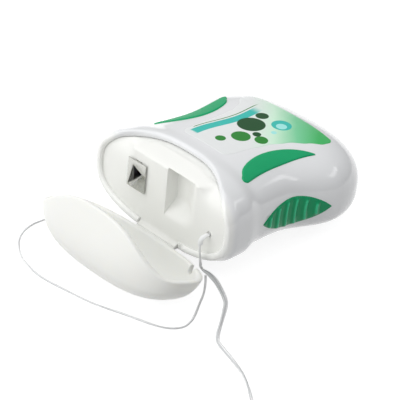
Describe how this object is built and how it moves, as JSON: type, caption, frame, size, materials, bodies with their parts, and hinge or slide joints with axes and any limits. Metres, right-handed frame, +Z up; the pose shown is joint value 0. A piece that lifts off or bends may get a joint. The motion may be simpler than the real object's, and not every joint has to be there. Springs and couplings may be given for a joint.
{
  "type": "dental floss dispenser",
  "caption": "Waisted pocket dental floss dispenser with a flip lid, steel cutter, grip inlays and an inner spool that feeds floss through the deck.",
  "frame": {"origin": "on the table, under the middle of the dispenser's box without the free floss", "axes": "+X from the open lid towards the base, +Y to the far side, +Z up; the label face looks up, tipped 7 degrees towards the base"},
  "size_m": [0.0859, 0.1134, 0.0278],
  "materials": {
    "white_case": "glossy white moulded plastic",
    "green_inlay": "satin emerald soft-touch inlay",
    "green_grip": "satin dark green ribbed soft grip",
    "label_film": "printed film, green fading to white",
    "milky_insert": "milky moulded plastic",
    "milky_lid": "milky moulded plastic, satin",
    "cutter_steel": "thin bright pressed steel",
    "cradle_plastic": "plain moulded plastic",
    "bobbin_plastic": "plain moulded plastic",
    "floss_white": "waxed white floss"
  },
  "bodies": {
    "case": {"case_shell": "white_case", "crescent_left": "green_inlay", "crescent_right": "green_inlay", "grip_near": "green_grip", "grip_far": "green_grip", "front_label": "label_film", "deck_insert": "milky_insert", "hinge_web": "milky_insert", "cutter_clip": "cutter_steel", "spool_cradle": "cradle_plastic", "spool_axle": "cradle_plastic", "floss_lead": "floss_white", "floss_tail": "floss_white", "floss_coil": "floss_white", "floss_side_strand": "floss_white"},
    "lid": {"flip_lid": "milky_lid"},
    "spool": {"spool_bobbin": "bobbin_plastic", "floss_winding": "floss_white"}
  },
  "joints": [
    {"name": "lid_hinge", "type": "hinge", "parent": "case", "child": "lid", "pos_m": [-0.01721, 0, 0.00608], "axis": [0, 1, 0], "range_deg": [0, 74]},
    {"name": "spool_spin", "type": "hinge", "parent": "case", "child": "spool", "pos_m": [0.01577, 0, 0.01318], "axis": [0.1275, 0, 0.9918], "continuous": true}
  ]
}
